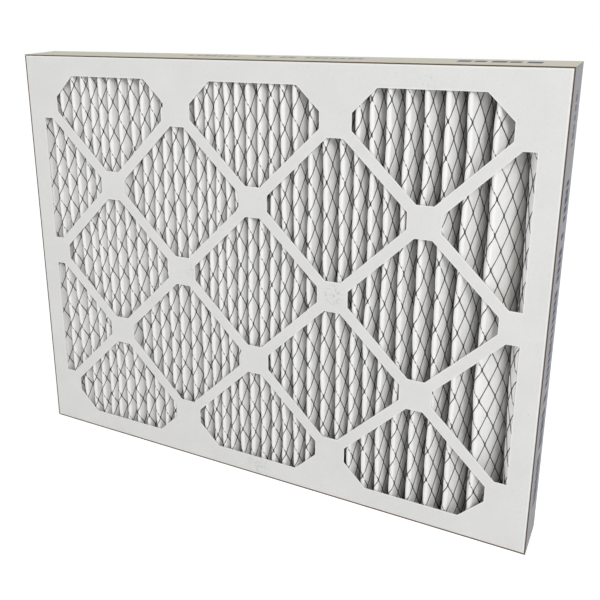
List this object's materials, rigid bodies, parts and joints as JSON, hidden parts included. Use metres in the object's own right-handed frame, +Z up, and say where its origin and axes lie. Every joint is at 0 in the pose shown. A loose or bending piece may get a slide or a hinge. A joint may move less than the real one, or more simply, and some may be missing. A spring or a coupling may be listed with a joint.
{
  "type": "pleated panel air filter",
  "caption": "Flat rectangular air filter: pleated media with a wire backing between two die-cut board trays whose faces are open diamond lattices.",
  "frame": {"origin": "middle of the bottom edge's underside, where the filter stands on its long side", "axes": "+X along the width, +Y from the air-leaving front face to the air-entering back face, +Z up"},
  "size_m": [0.4952, 0.0444, 0.3937],
  "materials": {
    "white_board": "clay-coated white beverage board, matt",
    "printed_board": "clay-coated board with a warm grey tone, matt, raw brown cut edges",
    "filter_media": "soft white non-woven cotton and synthetic blend",
    "galvanised_wire": "dull galvanised expanded wire"
  },
  "bodies": {
    "root": {"front_tray": "white_board", "back_tray": "printed_board", "pleated_media": "filter_media", "wire_backing": "galvanised_wire"}
  },
  "joints": []
}
